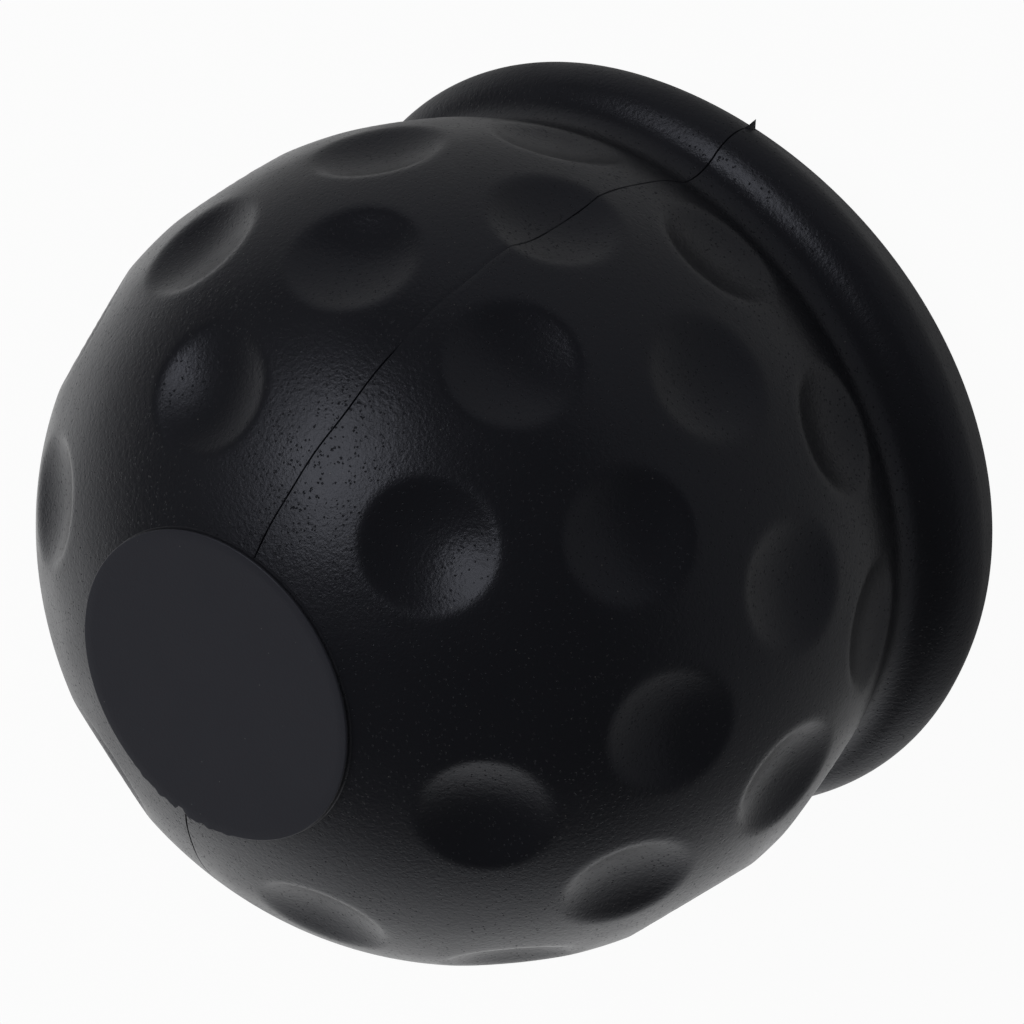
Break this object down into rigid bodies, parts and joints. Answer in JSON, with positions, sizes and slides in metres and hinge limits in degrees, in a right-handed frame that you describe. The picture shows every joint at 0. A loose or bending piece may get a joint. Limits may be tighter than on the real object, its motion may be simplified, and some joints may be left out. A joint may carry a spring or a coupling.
{
  "type": "tow ball cover",
  "caption": "Soft rubber cover shaped like a dimpled ball with a flat crown and a rounded skirt, pushed over a tow ball to keep off dirt and grease.",
  "frame": {"origin": "centre of the open rim's bottom face, on the axis of the ball", "axes": "+Z along the axis from the open rim to the flat crown; X = 0 is the mould's parting plane"},
  "size_m": [0.067, 0.067, 0.0613],
  "materials": {
    "black_rubber": "matte moulded"
  },
  "bodies": {
    "root": {"cover": "black_rubber"}
  },
  "joints": []
}
